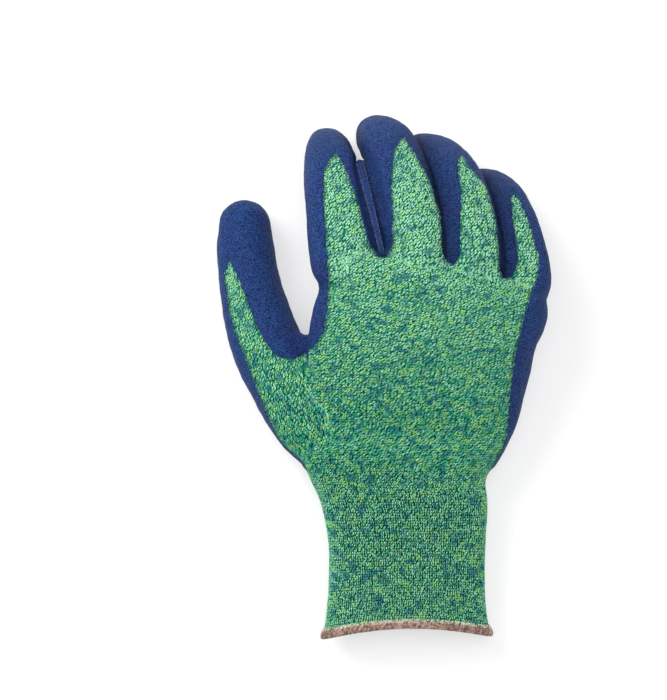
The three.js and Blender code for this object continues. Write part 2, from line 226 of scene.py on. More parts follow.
digitBuild = {
    "lift": -6,
    "mostCurl": 125,
    "tries": 24,
    "tipPress": 0.9 * mm,
    "slimTo": 0.95,
    "tipTurn": 84,
    "sides": 64,
    "ringStep": 1.5 * mm,
    "tipRings": 9,
    "steps": 240,
    "lineSteps": 60,
}


def directionsOf(heading, tilt, drop):
    flat = np.zeros_like(heading)
    forward = np.stack([np.sin(heading), np.cos(heading), flat], axis=1)
    right = np.stack([np.cos(heading), -np.sin(heading), flat], axis=1)
    back = right * math.sin(tilt) + np.array([0, 0, math.cos(tilt)])
    cosine, sine = np.cos(drop)[:, None], np.sin(drop)[:, None]
    along = forward * cosine - back * sine
    up = back * cosine + forward * sine
    side = np.cross(along, up)
    return along, up, side / np.linalg.norm(side, axis=1, keepdims=True)


def headingAt(digit, shares):
    if digit["name"] == "thumb":
        return np.radians(smoothAt(shares, thumbRings["along"], thumbRings["heading"]))
    return np.radians(digit["heading"] - digit["turn"] * np.maximum(0, shares))


def dropAt(digit, shares):
    if digit["name"] == "thumb":
        return np.radians(smoothAt(shares, thumbRings["along"], thumbRings["drop"]))
    lift = digitBuild["lift"]
    return np.radians(lift + (digit["curl"] - lift) * np.maximum(0, shares))


def framesOf(digit, shares):
    first = digit["rings"]["along"][0]
    fine = np.linspace(first, 1, digitBuild["steps"] + 1)
    middles = (fine[1:] + fine[:-1]) / 2
    along = directionsOf(headingAt(digit, middles), digit["tilt"], dropAt(digit, middles))[0]
    steps = along * digit["length"] * (fine[1] - fine[0])
    line = np.vstack([digit["start"], digit["start"] + np.cumsum(steps, axis=0)])
    centres = np.stack([np.interp(shares, fine, line[:, k]) for k in range(3)], axis=1)
    directions = directionsOf(headingAt(digit, shares), digit["tilt"], dropAt(digit, shares))
    return (centres, *directions)


def digitOf(name):
    place, size = dict(zip(placeNames, digitPlaces[name])), digitSizes[name]
    rings = thumbRings if name == "thumb" else fingerRings
    y = np.array([hand["cuffLength"] + place["root"] * hand["palmLength"]])
    x = handAt(y)["x"][0] + place["across"] * hand["palmWidth"] / 2
    digit = {
        **size,
        **place,
        "name": name,
        "rings": rings,
        "tilt": math.radians(place["tilt"]),
        "start": np.array([x, y[0], place["rise"] * hand["knuckleRise"]]) + hand["origin"],
    }
    if name == "thumb":
        return digit
    digit["curl"] = 0
    root = directionsOf(headingAt(digit, np.zeros(1)), digit["tilt"], dropAt(digit, np.zeros(1)))[0][0]
    digit["start"] = digit["start"] + root * rings["along"][0] * digit["length"]
    tipRadius = rings["half"][-1] * digit["width"] / 2 + hand["floor"]
    low, high = 0, digitBuild["mostCurl"]
    for _ in range(digitBuild["tries"]):
        digit["curl"] = (low + high) / 2
        tip = framesOf(digit, np.ones(1))[0][0]
        if tip[2] - tipRadius > -digitBuild["tipPress"]:
            low = digit["curl"]
        else:
            high = digit["curl"]
    return digit


def halfAt(digit, shares):
    first, last = digit["slimFrom"], digitBuild["slimTo"]
    tip = 1 + (digit["tip"] - 1) * eased((shares - first) / (last - first))
    return smoothAt(shares, digit["rings"]["along"], digit["rings"]["half"]) * tip * digit["width"] / 2


def digitRings(digit, shares, turns):
    rings = digit["rings"]
    centres, along, up, side = framesOf(digit, shares)
    half = halfAt(digit, shares)
    deep = smoothAt(shares, rings["along"], rings["deep"]) * digit["deep"] / 2
    across = (roundPower(np.cos(turns))[None, :] * half[:, None])[:, :, None]
    over = (roundPower(np.sin(turns))[None, :] * deep[:, None])[:, :, None]
    points = centres[:, None, :] + across * side[:, None, :] + over * up[:, None, :]
    points[:, :, 2] = np.maximum(points[:, :, 2], hand["floor"])
    return points


def roundTip(digit, turns):
    rings = digit["rings"]
    angles = np.radians(np.linspace(0, digitBuild["tipTurn"], digitBuild["tipRings"] + 1)[1:])
    sine, cosine = np.sin(angles), np.cos(angles)
    centres, along, up, side = (part[0] for part in framesOf(digit, np.ones(1)))
    half = halfAt(digit, np.ones(1))[0]
    deep = rings["deep"][-1] * digit["deep"] / 2
    across = (roundPower(np.cos(turns))[None, :] * half * cosine[:, None])[:, :, None]
    over = (roundPower(np.sin(turns))[None, :] * deep * cosine[:, None])[:, :, None]
    points = centres + along * (half * sine)[:, None, None] + across * side + over * up
    points[:, :, 2] = np.maximum(points[:, :, 2], hand["floor"])
    return points


digits = {name: digitOf(name) for name in digitPlaces}


def meshPiece(name, points, faces):
    mesh = bpy.data.meshes.new(name)
    mesh.from_pydata(np.asarray(points).reshape(-1, 3).tolist(), [], faces)
    mesh.update()
    piece = bpy.data.objects.new(name, mesh)
    bpy.context.scene.collection.objects.link(piece)
    return piece


def faceValues(piece, name, values):
    piece.data.attributes.new(name, "FLOAT", "FACE").data.foreach_set("value", values)


# The four-sided faces between rings of points. Closed, the last ring joins the first.
def ringFaces(count, sides, closed=False):
    faces = []
    for ring in range(count if closed else count - 1):
        a, b = ring * sides, (ring + 1) % count * sides
        for i in range(sides):
            j = (i + 1) % sides
            faces.append((a + j, a + i, b + i, b + j))
    return faces


def skinOf(name, rings):
    count, sides = rings.shape[:2]
    faces = ringFaces(count, sides)
    faces.append(list(range(sides)))
    faces.append(list(range(count * sides - 1, (count - 1) * sides - 1, -1)))
    return meshPiece(name, rings, faces)


def applied(piece, kind, **settings):
    bpy.context.view_layer.objects.active = piece
    modifier = piece.modifiers.new(kind.title(), kind)
    for key, value in settings.items():
        setattr(modifier, key, value)
    bpy.ops.object.modifier_apply(modifier=modifier.name)


# One closed skin of the whole glove, at the outside of the knit. Every piece is made from it.
skin = {
    "voxel": 1.3 * mm,
    "smooth": 0.5,
    "passes": 5,
    "thumbBlend": 7 * mm,
    "thumbPasses": 40,
    "nearLine": 0.08,
}
handTurns = np.linspace(0, 2 * math.pi, hand["sides"], endpoint=False)
digitTurns = np.linspace(0, 2 * math.pi, digitBuild["sides"], endpoint=False)
stations = np.arange(handLine["y"][0], handLine["y"][-1], hand["ringStep"])
bodies = [skinOf("hand_skin", handRings(stations, handTurns))]
for name, digit in digits.items():
    first = digit["rings"]["along"][0]
    count = int(digit["length"] * (1 - first) / digitBuild["ringStep"])
    rings = digitRings(digit, np.linspace(first, 1, count), digitTurns)
    bodies.append(skinOf(name + "_skin", np.concatenate([rings, roundTip(digit, digitTurns)])))

# The webs between the index and the middle finger, along them, and in the crotch of the thumb, whose
# line is a curve through the photo's pixels.
webs = {
    "finger": {"radius": 3 * mm, "raise": 3 * mm, "from": -0.05, "to": 0.71, "rings": 40},
    "thumb": {
        "radius": 5.6 * mm,
        "from": (291, 340),
        "low": (308, 360),
        "to": (322, 336),
        "height": 21 * mm,
        "rings": 16,
    },
}


def webOf(name, line, radius, across):
    shares = np.linspace(-1, 1, len(line))
    taper = np.sqrt(np.clip(1.02 - shares**8, 0.1, 1))
    ring = np.cos(digitTurns)[:, None] * across + np.sin(digitTurns)[:, None] * np.array([0, 0, 1])
    return skinOf(name, line[:, None, :] + ring[None, :, :] * (taper * radius)[:, None, None])


def placeOf(pixel, height):
    pitch = photo["pixel"] * (1 - (height - photo["atHeight"]) / photo["distance"])
    x = photo["x"] + (pixel[0] - photo["width"] / 2) * pitch
    return np.array([x, photo["y"] + (photo["height"] / 2 - pixel[1]) * pitch, height])


web = webs["finger"]
shares = np.linspace(web["from"], web["to"], web["rings"])
line = sum(framesOf(digits[name], shares)[0] for name in ("index", "middle")) / 2
line[:, 2] += web["raise"]
bodies.append(webOf("finger_web", line, web["radius"], np.array([1, 0, 0])))
web = webs["thumb"]
ends = [placeOf(web[end], web["height"]) for end in ("from", "low", "to")]
share = np.linspace(0, 1, web["rings"])[:, None]
line = ends[0] * (1 - share) ** 2 + ends[1] * 2 * share * (1 - share) + ends[2] * share**2
bodies.append(webOf("thumb_web", line, web["radius"], np.array([0, -1, 0])))
for body in bodies:
    body.select_set(True)
glove = bodies[0]
bpy.context.view_layer.objects.active = glove
bpy.ops.object.join()
applied(glove, "REMESH", mode="VOXEL", voxel_size=skin["voxel"], use_smooth_shade=True)
applied(glove, "SMOOTH", factor=skin["smooth"], iterations=skin["passes"])


def pointsOf(piece):
    flat = np.zeros(len(piece.data.vertices) * 3)
    piece.data.vertices.foreach_get("co", flat)
    return flat.reshape(-1, 3)


def normalsOf(piece):
    flat = np.zeros(len(piece.data.vertices) * 3)
    piece.data.vertices.foreach_get("normal", flat)
    return flat.reshape(-1, 3)


def putPoints(piece, points):
    piece.data.vertices.foreach_set("co", points.ravel())
    piece.data.update()


def noiseAt(points, size, seed):
    shift = Vector((seed * 3.1, seed * 1.7, seed * 2.3))
    return np.array([noise.noise(Vector(p) / size + shift) for p in points])


def handPlace(points):
    local = points - hand["origin"]
    y = local[:, 1]
    for _ in range(4):
        at = handAt(y)
        sideways = np.clip((local[:, 0] - at["x"]) / at["half"], -1, 1)
        y = local[:, 1] - waveAt(y, sideways) + sideways * at["half"] * np.tan(at["skew"])
    dx, dz = local[:, 0] - at["x"], local[:, 2] - at["z"]
    across = dx * np.cos(at["roll"]) - dz * np.sin(at["roll"])
    over = dx * np.sin(at["roll"]) + dz * np.cos(at["roll"])
    crown = 1 - np.minimum(1, (across / at["half"]) ** 2)
    size = np.hypot(across / at["half"], (over - at["arch"] * crown) / at["deep"])
    past = np.maximum(0, y - handLine["y"][-1])
    return {"y": y, "sideways": sideways, "away": np.abs(size - 1) * at["deep"] + past}


def awayFrom(digit, points):
    rings = digit["rings"]
    shares = np.linspace(rings["along"][0], 1, digitBuild["lineSteps"])
    centres, along, up, side = framesOf(digit, shares)
    nearest = np.argmin(np.linalg.norm(points[:, None, :] - centres[None, :, :], axis=2), axis=1)
    offset = points - centres[nearest]
    half = halfAt(digit, shares)[nearest]
    deep = (smoothAt(shares, rings["along"], rings["deep"]) * digit["deep"] / 2)[nearest]
    over = np.einsum("ij,ij->i", offset, up[nearest])
    across = np.einsum("ij,ij->i", offset, side[nearest])
    ahead = np.einsum("ij,ij->i", offset, along[nearest])
    size = np.sqrt((across / half) ** 2 + (over / deep) ** 2 + (ahead / half) ** 2)
    return np.abs(size - 1) * deep


points = pointsOf(glove)
away = np.maximum(handPlace(points)["away"], awayFrom(digits["thumb"], points))
group = glove.vertex_groups.new(name="thumbRoot")
for index, weight in enumerate(1 - eased(away / skin["thumbBlend"])):
    if weight > 0:
        group.add([index], float(weight), "REPLACE")
applied(glove, "SMOOTH", factor=skin["smooth"], iterations=skin["thumbPasses"], vertex_group="thumbRoot")
glove.vertex_groups.clear()
print("skin", len(glove.data.vertices), "points")

# Dents and folds of the soft knit, as lines in the photo's pixels.
folds = {
    "freeAbove": 4 * mm,
    "swell": {"size": 26 * mm, "height": 0.5 * mm},
    "ripple": {"size": 9 * mm, "height": 0.16 * mm},
    "lines": [
        {"from": (306, 295), "to": (322, 290), "width": 4.5 * mm, "depth": 1.4 * mm},
        {"from": (354, 163), "to": (377, 250), "width": 1.5 * mm, "depth": 1.6 * mm},
        {"from": (363, 160), "to": (387, 246), "width": 1.3 * mm, "depth": 1.2 * mm},
    ],
}


def foldDepth(points):
    pixels = pixelOf(points)
    total = np.zeros(len(points))
    for line in folds["lines"]:
        a, b = np.array(line["from"], float), np.array(line["to"], float)
        share = np.clip((pixels - a) @ (b - a) / ((b - a) @ (b - a)), 0, 1)
        away = np.linalg.norm(pixels - a - share[:, None] * (b - a), axis=1) * photo["pixel"]
        total += line["depth"] * np.exp(-((away / line["width"]) ** 2))
    return total


points, normals = pointsOf(glove), normalsOf(glove)
lift = folds["swell"]["height"] * noiseAt(points, folds["swell"]["size"], 1)
lift += folds["ripple"]["height"] * noiseAt(points, folds["ripple"]["size"], 2)
lift -= foldDepth(points)
free = eased((points[:, 2] - hand["floor"]) / folds["freeAbove"])
points = points + normals * (lift * free)[:, None]
points[:, 2] = np.maximum(points[:, 2], hand["floor"])
putPoints(glove, points)
print("folds")

# Where the latex ends. The outline runs round the bare knit in the photo's pixels, from the cuff up the
# thumb, over each finger and down the other side. Above the wrist, nothing that faces sideways or down
# is bare.
bareOutline = {
    "start": [(250, 700), (292, 480)],
    "thumbLeft": [
        (300, 462), (279, 440), (261, 400), (246, 360),
        (235, 332), (228.4, 305), (224, 274.4),
    ],
    "thumbRight": [(230.3, 260.5), (238, 276.3), (248.5, 303), (257, 326), (267, 344), (278, 357)],
    "crotch": [
        (291.8, 359.4), (303.3, 354.8), (314.8, 345.7),
        (324, 331.9), (327.4, 306.6), (328.6, 283.7),
    ],
    "indexLeft": [
        (326.8, 249.5), (325, 227), (323.2, 191.4),
        (323.7, 173.6), (328.6, 161), (336, 153),
    ],
    "indexRight": [
        (344.6, 167.3), (350.9, 182.5), (357, 200.4), (366, 236),
        (371.4, 249.5), (376, 255), (382, 257),
    ],
    "middleLeft": [
        (388.5, 254.8), (393, 247), (392.4, 200.4),
        (391, 182.5), (393.8, 152), (402.7, 136.5),
    ],
    "middleRight": [
        (411.6, 148.6), (422.4, 167.8), (430.6, 184), (439.8, 216.7),
        (441.8, 252.4), (445.5, 261.3), (451, 265.3),
    ],
    "ringLeft": [
        (456.6, 262.3), (459.8, 254), (460, 232), (461, 196),
        (457.6, 168.8), (457.6, 159.6), (462, 154.5),
    ],
    "ringRight": [
        (469.4, 167.8), (487.8, 188), (494.9, 216.7), (498.5, 250),
        (498.5, 268), (501.5, 276.3), (507, 279.3),
    ],
    "littleLeft": [
        (512.6, 276.3), (516.3, 267.8), (517.9, 257.5),
        (514.3, 232), (510, 199.4), (513.3, 194.3),
    ],
    "littleRight": [(520.4, 201.4), (529.6, 224.9), (537.2, 252.4), (539.3, 259.6), (536.7, 279)],
    "edge": [
        (531.8, 292), (524, 316.5), (515, 354.8),
        (510.7, 385.4), (508.9, 416), (505.8, 440.5),
    ],
    "end": [(493.6, 465), (497, 480), (560, 700)],
}
coat = {
    "wristMiddle": 62 * mm,
    "wristSides": 78 * mm,
    "facing": -0.2,
    "facingReach": 12 * mm,
    "waver": 0.45 * mm,
    "waverSize": 2.2 * mm,
    "rimLift": 0.4 * mm,
    "lift": 1.2 * mm,
    "rimWall": 0.35 * mm,
    "wall": 0.9 * mm,
    "easeOver": 3.5 * mm,
    "crumple": 0.22 * mm,
    "crumpleSize": 4 * mm,
}


def outlineDistance(pixels, outline):
    corners = np.array([corner for run in outline.values() for corner in run], float)
    nearest = np.full(len(pixels), np.inf)
    inside = np.zeros(len(pixels), bool)
    for a, b in zip(corners, np.roll(corners, -1, axis=0)):
        share = np.clip((pixels - a) @ (b - a) / ((b - a) @ (b - a)), 0, 1)
        nearest = np.minimum(nearest, np.linalg.norm(pixels - a - share[:, None] * (b - a), axis=1))
        spans = (a[1] > pixels[:, 1]) != (b[1] > pixels[:, 1])
        rise = b[1] - a[1] if b[1] != a[1] else 1
        crossing = a[0] + (pixels[:, 1] - a[1]) * (b[0] - a[0]) / rise
        inside ^= spans & (pixels[:, 0] < crossing)
    return np.where(inside, nearest, -nearest) * photo["pixel"]


def bareDepth(points, normals):
    place = handPlace(points)
    aways = np.array([place["away"], *(awayFrom(digit, points) for digit in digits.values())])
    onHand = np.argmin(aways, axis=0) == 0
    facing = (normals[:, 2] + coat["facing"]) * coat["facingReach"]
    window = np.minimum(outlineDistance(pixelOf(points), bareOutline), facing)
    sides = coat["wristSides"] - coat["wristMiddle"]
    wrist = coat["wristMiddle"] + sides * place["sideways"] ** 2 - place["y"]
    wrist = np.where(onHand, wrist, -1)
    waver = coat["waver"] * noiseAt(points, coat["waverSize"], 3)
    return np.maximum(window, wrist) + waver, aways, place["y"]


# Cuts a skin along the line where the values cross zero and keeps the side above it.
def trimmed(piece, values):
    values = np.where(np.abs(values) < skin["nearLine"] * skin["voxel"], 0, values)
    mesh = bmesh.new()
    mesh.from_mesh(piece.data)
    level = mesh.verts.layers.float.new("level")
    mesh.verts.ensure_lookup_table()
    for vert, value in zip(mesh.verts, values):
        vert[level] = value
    crossing = [edge for edge in mesh.edges if edge.verts[0][level] * edge.verts[1][level] < 0]
    for edge in crossing:
        a, b = edge.verts
        share = a[level] / (a[level] - b[level])
        vert = bmesh.utils.edge_split(edge, a, share)[1]
        vert[level] = 0
    onLine = [vert for vert in mesh.verts if vert[level] == 0]
    bmesh.ops.connect_verts(mesh, verts=onLine)
    outside = [face for face in mesh.faces if sum(vert[level] for vert in face.verts) < 0]
    bmesh.ops.delete(mesh, geom=outside, context="FACES")
    loose = [vert for vert in mesh.verts if not vert.link_faces]
    bmesh.ops.delete(mesh, geom=loose, context="VERTS")
    mesh.to_mesh(piece.data)
    mesh.free()
    kept = np.zeros(len(piece.data.vertices))
    piece.data.attributes["level"].data.foreach_get("value", kept)
    return kept


def copyOf(piece, name):
    copy = piece.copy()
    copy.data = piece.data.copy()
    copy.name = name
    copy.data.name = name
    bpy.context.scene.collection.objects.link(copy)
    return copy


bare, _, stationY = bareDepth(pointsOf(glove), normalsOf(glove))
print("outline of the latex")


class Wire:
    def __init__(self, graph, socket):
        self.graph = graph
        self.socket = socket

    def maths(self, operation, *others):
        inputs = dict(enumerate((self, *others)))
        return self.graph.add("ShaderNodeMath", {"operation": operation}, inputs)

    def __add__(self, other):
        return self.maths("ADD", other)

    def __radd__(self, other):
        return self + other

    def __sub__(self, other):
        return self.maths("SUBTRACT", other)

    def __rsub__(self, other):
        return self * -1 + other

    def __mul__(self, other):
        return self.maths("MULTIPLY", other)

    def __rmul__(self, other):
        return self * other

    def __truediv__(self, other):
        return self.maths("DIVIDE", other)

    def __rtruediv__(self, other):
        return self**-1 * other

    def __pow__(self, other):
        return self.maths("POWER", other)

    def __abs__(self):
        return self.maths("ABSOLUTE")

    def ramp(self, low, high):
        inputs = {"Value": self, "From Min": low, "From Max": high}
        return self.graph.add("ShaderNodeMapRange", {"interpolation_type": "SMOOTHSTEP"}, inputs)


class Graph:
    def __init__(self, name, **uniform):
        self.material = bpy.data.materials.new(name)
        self.material.use_nodes = True
        self.tree = self.material.node_tree
        self.shader = self.tree.nodes["Principled BSDF"]
        for key, value in uniform.items():
            self.shader.inputs[key.replace("_", " ")].default_value = value

    def put(self, socket, value):
        if isinstance(value, Wire):
            self.tree.links.new(value.socket, socket)
        else:
            socket.default_value = value

    def add(self, kind, settings, inputs, output=0):
        made = self.tree.nodes.new(kind)
        for key, value in settings.items():
            setattr(made, key, value)
        for key, value in inputs.items():
            self.put(made.inputs[key], value)
        return Wire(self, made.outputs[output])

    def place(self):
        return self.add("ShaderNodeTexCoord", {}, {}, "Object")

    def noise(self, scale, detail=2.0, rough=0.5, place=None):
        inputs = {"Vector": place or self.place(), "Scale": scale, "Detail": detail, "Roughness": rough}
        return self.add("ShaderNodeTexNoise", {}, inputs)

    def value(self, name):
        return self.add("ShaderNodeAttribute", {"attribute_name": name}, {}, "Fac")

    def mixed(self, a, b, share):
        return self.add("ShaderNodeMix", {"data_type": "RGBA"}, {0: share, 6: a, 7: b}, 2)

    def bump(self, height, distance, strength=1.0):
        inputs = {"Height": height, "Distance": distance, "Strength": strength}
        return self.add("ShaderNodeBump", {}, inputs)

    def finish(self, **inputs):
        for key, value in inputs.items():
            self.put(self.shader.inputs[key.replace("_", " ")], value)
        return self.material


def colour(red, green, blue):
    def linear(value):
        value /= 255
        return value / 12.92 if value <= 0.04045 else ((value + 0.055) / 1.055) ** 2.4

    return (linear(red), linear(green), linear(blue), 1)


def wear(piece, material):
    piece.data.materials.clear()
    piece.data.materials.append(material)
    piece.data.shade_smooth()
    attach(piece, "root")


# The knit's ground, which shows between the stitches and inside the glove. Outside, its dark tones are
# partly the knit's own colour and partly painted shade in the gaps between the stitches.
ground = {
    "sink": 0.3 * mm,
    "wall": 1.1 * mm,
    "kept": 0.75,
    "low": (0, 50, 40),
    "high": (8, 94, 68),
    "inner": [(6, 78, 64), (82, 182, 128)],
    "paintedLitLow": (8, 94, 70),
    "paintedLitHigh": (36, 138, 96),
    "paintedLightFrom": -40 * mm,
    "paintedLightTo": 50 * mm,
    "loop": 620,
    "purl": 780,
}
knit = copyOf(glove, "knit_ground")
trimmed(knit, stationY - hand["hemLength"])
putPoints(knit, pointsOf(knit) - normalsOf(knit) * ground["sink"])
applied(knit, "DECIMATE", ratio=ground["kept"])
applied(knit, "SOLIDIFY", thickness=ground["wall"], offset=-1, use_rim=True, material_offset=1)
graph = Graph("knit_ground", Roughness=0.95, Specular_IOR_Level=0.1)
loops = graph.noise(ground["loop"])
y = graph.add("ShaderNodeSeparateXYZ", {}, {0: graph.place()}, "Y")
# Painted light: the ground turns lighter toward the fingers.
paintedLightToFingers = y.ramp(ground["paintedLightFrom"], ground["paintedLightTo"])
share = loops.ramp(0.35, 0.7)
# Painted shade: these dark tones stand for the shade in the gaps between the stitches, as well as for
# the knit's own colour.
near = graph.mixed(colour(*ground["low"]), colour(*ground["high"]), share)
far = graph.mixed(colour(*ground["paintedLitLow"]), colour(*ground["paintedLitHigh"]), share)
groundMaterial = graph.finish(
    Base_Color=graph.mixed(near, far, paintedLightToFingers),
    Normal=graph.bump(loops, 0.5 * mm),
)
graph = Graph("knit_inside", Roughness=0.95, Specular_IOR_Level=0.1)
place = graph.add("ShaderNodeMapping", {}, {"Vector": graph.place(), "Scale": (0.7, 1.6, 1)})
purl = graph.noise(ground["purl"], 2, 0.6, place)
dark, light = (colour(*tone) for tone in ground["inner"])
innerMaterial = graph.finish(
    Base_Color=graph.mixed(dark, light, purl.ramp(0.36, 0.66)),
    Normal=graph.bump(purl, 0.7 * mm),
)
wear(knit, groundMaterial)
knit.data.materials.append(innerMaterial)
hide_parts("knit_liner")
print("knit ground", len(knit.data.vertices), "points")

# The stitches: two slanted legs to a stitch, a wale apart sideways and a course apart along. A leg's
# numbers are shares of a wale and a course.
stitch = {
    "handWales": 156,
    "digitWale": 1.5 * mm,
    "thumbWale": 1.3 * mm,
    "course": 1.08 * mm,
    "cuffCourse": 1.24 * mm,
    # Painted light and shade: the right legs start lighter and the left legs darker, as the light from
    # the upper left falls on their flanks.
    "right": {"turn": -1, "foot": -0.16, "head": 0.7, "fat": 0.2, "top": 0.32 * mm, "light": 0.4},
    "left": {"turn": 1, "foot": 0.05, "head": 0.46, "fat": 0.16, "top": 0.16 * mm, "light": 0.0},
    "turnSteps": 480,
    "fingersFrom": -0.1,
    "start": -0.16,
    "end": 0.92,
    "waist": (0.28, 0.72),
    "bottom": -0.4 * mm,
    "under": 0.5 * mm,
    "nearest": 2.5 * mm,
    "overlap": 1.1 * mm,
    "jitter": 0.16,
    "soak": 1.6 * mm,
    "spread": 0.6,
    "cuffDrawn": 0.54,
    "cuffEase": 12 * mm,
}
tree = BVHTree.FromObject(glove, bpy.context.evaluated_depsgraph_get())


def evenRings(rings, wales):
    closed = np.concatenate([rings, rings[:, :1]], axis=1)
    even = []
    for ring in closed:
        lengths = np.append(0, np.cumsum(np.linalg.norm(np.diff(ring, axis=0), axis=1)))
        wanted = np.arange(wales) / wales * lengths[-1]
        even.append(np.stack([np.interp(wanted, lengths, ring[:, k]) for k in range(3)], axis=1))
    return np.array(even)


def onGlove(points):
    found = [tree.find_nearest(Vector(point)) for point in points]
    return [np.array([hit[k] for hit in found]) for k in (0, 1, 3)]


def between(grid, across, along):
    rows, wales = grid.shape[:2]
    along = np.clip(along, 0, rows - 1.001)
    i, j = np.floor(across).astype(int), np.floor(along).astype(int)
    u, v = (across - i)[..., None], (along - j)[..., None]
    i, k = i % wales, (i + 1) % wales
    low = grid[j, i] * (1 - u) + grid[j, k] * u
    high = grid[j + 1, i] * (1 - u) + grid[j + 1, k] * u
    return low * (1 - v) + high * v


def legsOn(rings, wales, number, drawn):
    grid = evenRings(rings, wales)
    places, facing, away = onGlove(grid.reshape(-1, 3))
    depth, aways, _ = bareDepth(places, facing)
    own = aways[number] < aways.min(axis=0) + stitch["overlap"] * chance.random(len(places))
    shown = (away < stitch["nearest"]) & (depth > -stitch["under"]) & own
    shown = shown.reshape(grid.shape[:2])
    places = places.reshape(grid.shape)
    across = (np.roll(places, -1, axis=1) - np.roll(places, 1, axis=1)) / 2
    along = np.gradient(places, axis=0)
    normal = np.cross(across, along)
    normal /= np.maximum(np.linalg.norm(normal, axis=2, keepdims=True), 1e-9)
    j, i = np.nonzero(shown)
    legs, lights = [], []
    for leg in (stitch["right"], stitch["left"]):
        jitter = chance.normal(0, stitch["jitter"], (2, len(i)))
        ends = []
        for share in (0, *stitch["waist"], 1):
            reach = leg["foot"] + (leg["head"] - leg["foot"]) * share
            u = i + leg["turn"] * reach * drawn[j] + jitter[0]
            v = j + stitch["start"] + (stitch["end"] - stitch["start"]) * share + jitter[1]
            ends.append((between(places, u, v), between(normal, u, v), between(across, u, v)))
        direction = ends[3][0] - ends[0][0]
        direction /= np.maximum(np.linalg.norm(direction, axis=1, keepdims=True), 1e-9)
        ring = [ends[0][0] + ends[0][1] * stitch["bottom"]]
        for centre, up, wale in ends[1:3]:
            flank = np.cross(direction, up) * np.linalg.norm(wale, axis=1, keepdims=True) * leg["fat"]
            low = up * stitch["bottom"]
            ring += [centre - flank + low, centre + up * leg["top"], centre + flank + low]
        ring.append(ends[3][0] + ends[3][1] * stitch["bottom"])
        legs.append(np.stack(ring, axis=1))
        # A leg's value is its side's painted light or shade plus a random tone of the yarn.
        lights.append(leg["light"] + stitch["spread"] * chance.random(len(i)))
    soaked = 1 - eased(depth.reshape(shown.shape)[j, i] / stitch["soak"])
    return np.concatenate(legs), np.concatenate(lights), np.tile(soaked, 2)


# A leg is a spindle: a point, a triangle, a triangle and a point.
legFaces = [
    (0, 2, 1),
    (0, 3, 2),
    (0, 1, 3),
    (1, 2, 5, 4),
    (2, 3, 6, 5),
    (3, 1, 4, 6),
    (7, 4, 5),
    (7, 5, 6),
    (7, 6, 4),
]
stitchTurns = np.linspace(-math.pi / 2, 3 * math.pi / 2, stitch["turnSteps"], endpoint=False)
courses = np.append(
    np.arange(hand["hemLength"], hand["cuffLength"], stitch["cuffCourse"]),
    np.arange(hand["cuffLength"], handLine["y"][-1], stitch["course"]),
)
cuffShare = eased((hand["cuffLength"] - courses) / stitch["cuffEase"] + 0.5)
drawn = 1 + (stitch["cuffDrawn"] - 1) * cuffShare
handStitches = legsOn(handRings(courses, stitchTurns), stitch["handWales"], 0, drawn)
digitStitches = []
for number, (name, digit) in enumerate(digits.items(), start=1):
    first = 0 if name == "thumb" else stitch["fingersFrom"]
    shares = np.arange(first, 1, stitch["course"] / digit["length"])
    girth = math.pi * (digit["width"] + digit["deep"]) / 2
    wales = round(girth / stitch["thumbWale" if name == "thumb" else "digitWale"])
    rings = digitRings(digit, shares, stitchTurns)
    digitStitches.append(legsOn(rings, wales, number, np.ones(len(shares))))
onCuff = handStitches[0][:, 0, 1] < hand["origin"][1] + hand["cuffLength"]
stitchSets = {
    "knit_stitches_cuff": [values[onCuff] for values in handStitches],
    "knit_stitches_back": [values[~onCuff] for values in handStitches],
    "knit_stitches_fingers": [np.concatenate(values) for values in zip(*digitStitches)],
}

yarn = {
    "paintedLightFrom": -40 * mm,
    "paintedLightTo": 50 * mm,
    "palmFrom": (-55 * mm, -35 * mm),
    "palmTo": (30 * mm, 60 * mm),
    "mottle": 900,
    "limeFlecks": 300,
    "tealFlecks": 250,
    "fibres": 5200,
    "shade": (0, 82, 62),
    "shadePale": (22, 122, 88),
    "mid": (50, 162, 122),
    "mintFibreAndHighlight": (178, 242, 204),
    "lime": (156, 222, 112),
    "teal": (4, 102, 130),
    "soaked": (10, 62, 84),
}
graph = Graph("knit_yarn", Roughness=0.9, Specular_IOR_Level=0.12)
leg = graph.value("leg")
y = graph.add("ShaderNodeSeparateXYZ", {}, {0: graph.place()}, "Y")
# Painted light: the yarn turns lighter toward the fingers.
paintedLightToFingers = y.ramp(yarn["paintedLightFrom"], yarn["paintedLightTo"])
onPalm = y.ramp(*yarn["palmFrom"]) * (1 - y.ramp(*yarn["palmTo"]))
# The leg value carries the painted light and shade of the legs' sides. The pale green mixed in by it is
# partly the yarn's pale fibres and partly painted highlight.
light = (leg * 0.9 + graph.noise(yarn["mottle"]) * 0.5 + paintedLightToFingers * 0.25 + onPalm * -0.2).ramp(0.46, 1.16)
tone = graph.mixed(colour(*yarn["shade"]), colour(*yarn["shadePale"]), paintedLightToFingers)
tone = graph.mixed(tone, colour(*yarn["mid"]), leg.ramp(0.0, 0.4))
tone = graph.mixed(tone, colour(*yarn["mintFibreAndHighlight"]), light * 0.82)
place = graph.add("ShaderNodeMapping", {}, {"Vector": graph.place(), "Scale": (1, 1.1, 1)})
flecks = graph.noise(yarn["limeFlecks"], 3, place=place).ramp(0.48, 0.68)
tone = graph.mixed(tone, colour(*yarn["lime"]), flecks * 0.62)
place = graph.add("ShaderNodeMapping", {}, {"Vector": place, "Location": (0.4, 0.2, 0.1)})
flecks = graph.noise(yarn["tealFlecks"], 3, place=place).ramp(0.49, 0.67)
tone = graph.mixed(tone, colour(*yarn["teal"]), flecks * 0.72)
tone = graph.mixed(tone, colour(*yarn["soaked"]), graph.value("soaked") * 0.8)
fibres = graph.noise(yarn["fibres"], 2)
yarnMaterial = graph.finish(Base_Color=tone, Normal=graph.bump(fibres, 0.12 * mm))


